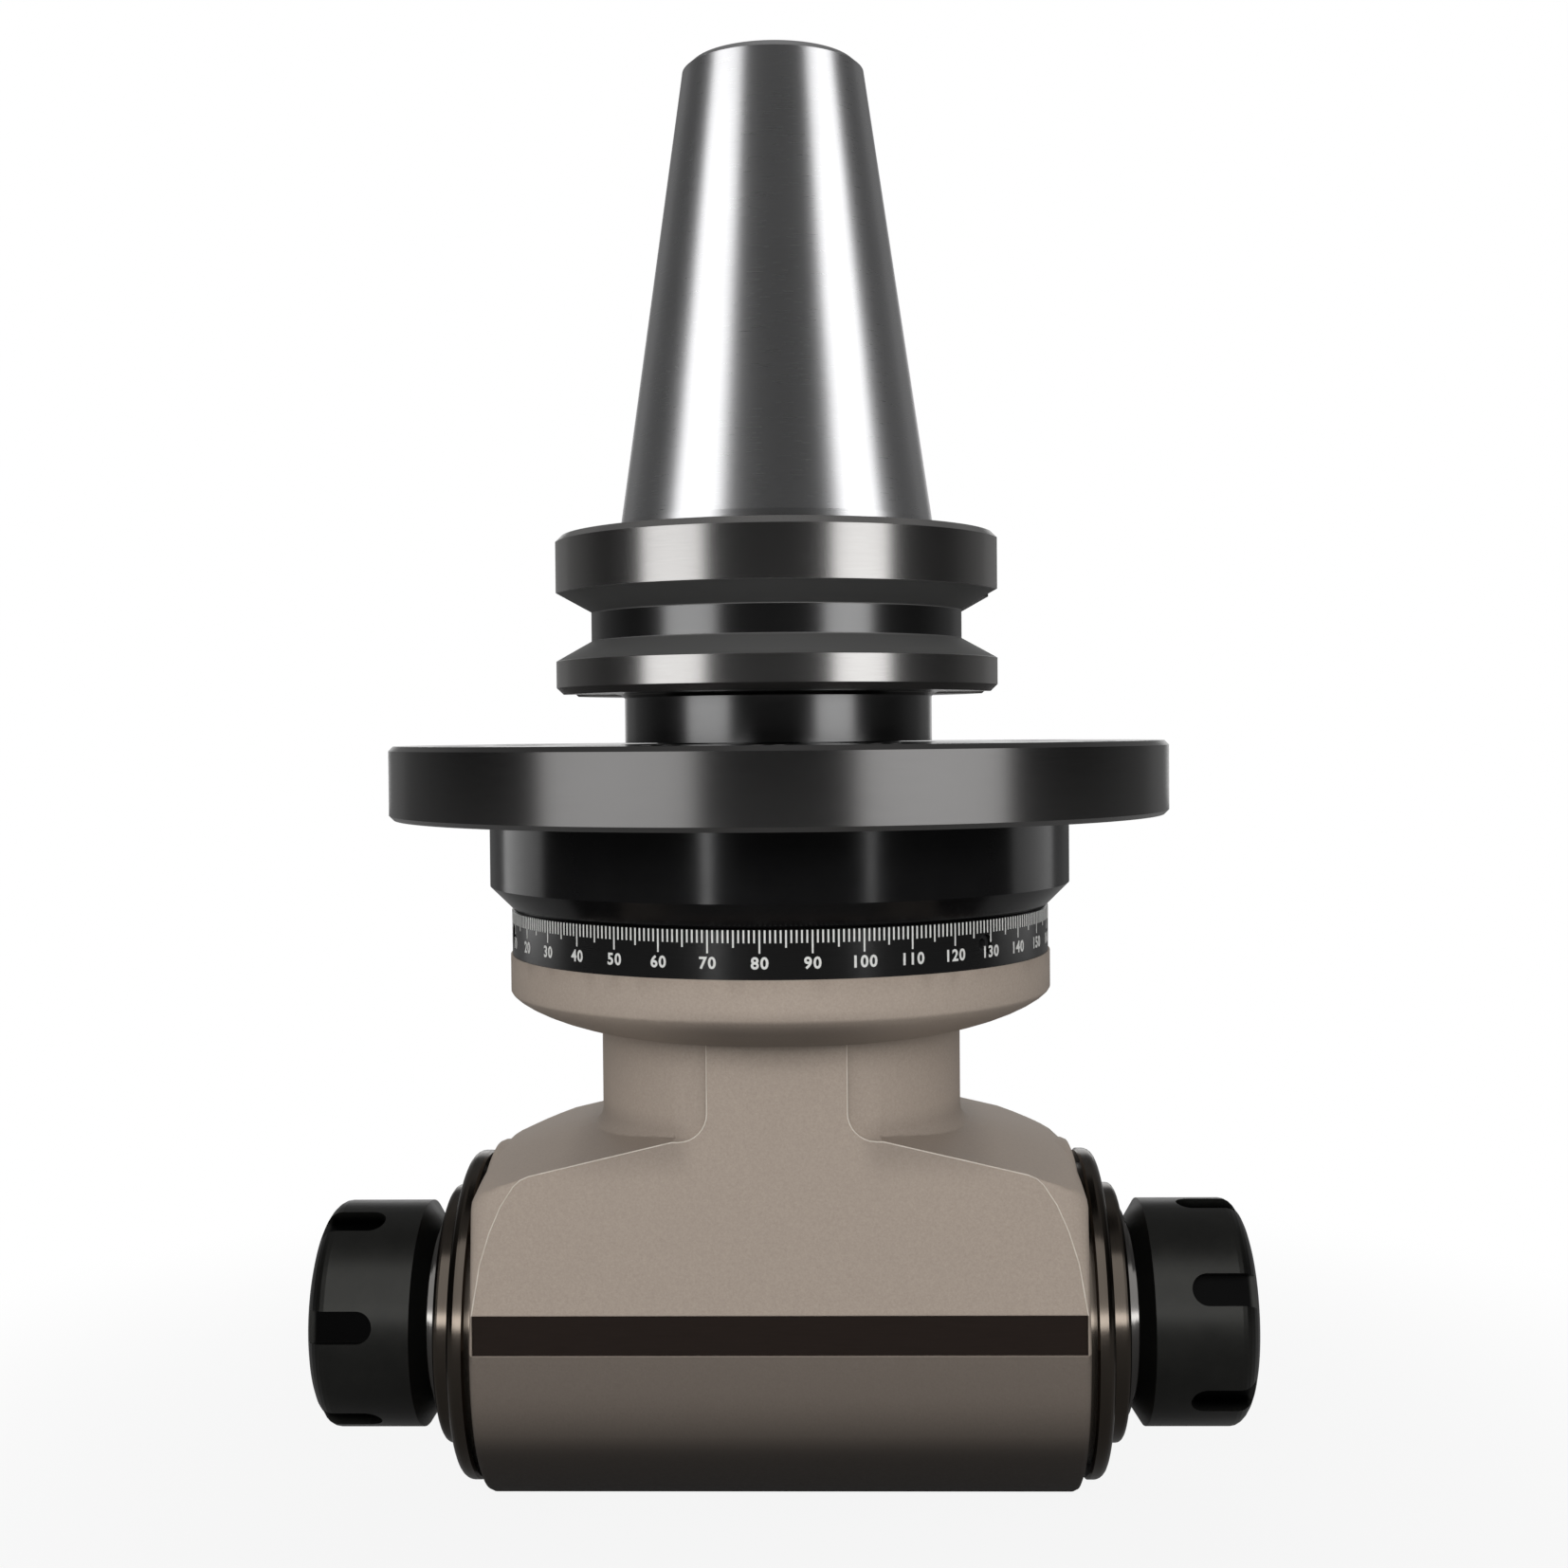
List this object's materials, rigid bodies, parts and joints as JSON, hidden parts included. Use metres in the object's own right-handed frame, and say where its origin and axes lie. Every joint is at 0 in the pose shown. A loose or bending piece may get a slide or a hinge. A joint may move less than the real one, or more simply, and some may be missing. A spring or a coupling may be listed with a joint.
{
  "type": "right angle milling head",
  "caption": "Two-way right angle milling head: taper shank, mounting disc, swivelling cast housing with a degree scale, and a collet spindle at each end.",
  "frame": {"origin": "centre of the taper's gauge plane", "axes": "+Z along the input axis towards the taper's small end, +X along the right output spindle, -Y towards the front face"},
  "size_m": [0.2088, 0.173, 0.3185],
  "materials": {
    "disc_steel": "dark, turned, satin",
    "collar_black": "black, glossy",
    "scale_black": "black, satin, with white graduations",
    "screw_steel": "black oxide",
    "seal_rubber": "matt",
    "cast_beige": "beige, fine sandblasted grain",
    "inner_steel": "turned",
    "ground_steel": "ground and polished",
    "flange_steel": "turned, satin",
    "cap_brown": "dark brownish, satin",
    "spindle_steel": "turned",
    "nut_black": "black oxide, satin",
    "collet_steel": "ground",
    "gear_steel": "cut"
  },
  "bodies": {
    "mounting_flange": {"mounting_disc": "disc_steel", "swivel_collar": "collar_black", "disc_screws": "screw_steel", "clamp_screws": "screw_steel", "shaft_seal": "seal_rubber"},
    "swivel_housing": {"housing": "cast_beige", "scale_ring": "scale_black", "scale_ring_screws": "screw_steel", "swivel_retainer": "inner_steel", "retainer_screws": "screw_steel", "upper_bearing_outer": "inner_steel", "upper_bearing_balls": "inner_steel", "lower_bearing_outer": "inner_steel", "lower_bearing_balls": "inner_steel", "left_bearing_outers": "inner_steel", "left_bearing_balls": "inner_steel", "left_bearing_cap": "cap_brown", "left_seal": "seal_rubber", "right_bearing_outers": "inner_steel", "right_bearing_balls": "inner_steel", "right_bearing_cap": "cap_brown", "right_seal": "seal_rubber"},
    "input_shaft": {"taper_shank": "ground_steel", "drive_flange": "flange_steel", "upper_bearing_inner": "inner_steel", "lower_bearing_inner": "inner_steel", "input_spacer": "inner_steel", "input_lock_nut": "inner_steel", "drive_pinion": "gear_steel", "pinion_key": "inner_steel", "pinion_washer": "inner_steel", "pinion_bolt": "inner_steel"},
    "left_output": {"left_spindle": "spindle_steel", "left_bearing_inners": "inner_steel", "left_gear": "gear_steel", "left_gear_key": "inner_steel", "left_lock_nut": "inner_steel", "left_labyrinth_ring": "cap_brown"},
    "right_output": {"right_spindle": "spindle_steel", "right_bearing_inners": "inner_steel", "right_gear": "gear_steel", "right_gear_key": "inner_steel", "right_lock_nut": "inner_steel", "right_labyrinth_ring": "cap_brown"},
    "left_collet_body": {"left_collet": "collet_steel"},
    "left_nut_body": {"left_nut": "nut_black"},
    "right_collet_body": {"right_collet": "collet_steel"},
    "right_nut_body": {"right_nut": "nut_black"}
  },
  "joints": [
    {"name": "swivel", "type": "hinge", "parent": "mounting_flange", "child": "swivel_housing", "pos_m": [0, 0, -0.08], "axis": [0, 0, 1], "continuous": true},
    {"name": "input_spin", "type": "hinge", "parent": "swivel_housing", "child": "input_shaft", "pos_m": [0, 0, 0], "axis": [0, 0, 1], "continuous": true},
    {"name": "left_spin", "type": "hinge", "parent": "swivel_housing", "child": "left_output", "pos_m": [0, 0, -0.178], "axis": [1, 0, 0], "continuous": true},
    {"name": "right_spin", "type": "hinge", "parent": "swivel_housing", "child": "right_output", "pos_m": [0, 0, -0.178], "axis": [1, 0, 0], "continuous": true},
    {"name": "left_collet_slide", "type": "slide", "parent": "left_output", "child": "left_collet_body", "axis": [-1, 0, 0], "range_m": [0, 0.0113]},
    {"name": "left_nut_turn", "type": "hinge", "parent": "left_collet_body", "child": "left_nut_body", "pos_m": [0, 0, -0.178], "axis": [-1, 0, 0], "range_deg": [0, 2700]},
    {"name": "right_collet_slide", "type": "slide", "parent": "right_output", "child": "right_collet_body", "axis": [1, 0, 0], "range_m": [0, 0.0113]},
    {"name": "right_nut_turn", "type": "hinge", "parent": "right_collet_body", "child": "right_nut_body", "pos_m": [0, 0, -0.178], "axis": [1, 0, 0], "range_deg": [0, 2700]}
  ],
  "couplings": [
    {"joint": "left_spin", "follows": "input_spin", "ratio": 1},
    {"joint": "right_spin", "follows": "input_spin", "ratio": -1},
    {"joint": "left_collet_slide", "follows": "left_nut_turn", "m_per_rad": 0.00023873},
    {"joint": "right_collet_slide", "follows": "right_nut_turn", "m_per_rad": 0.00023873}
  ]
}
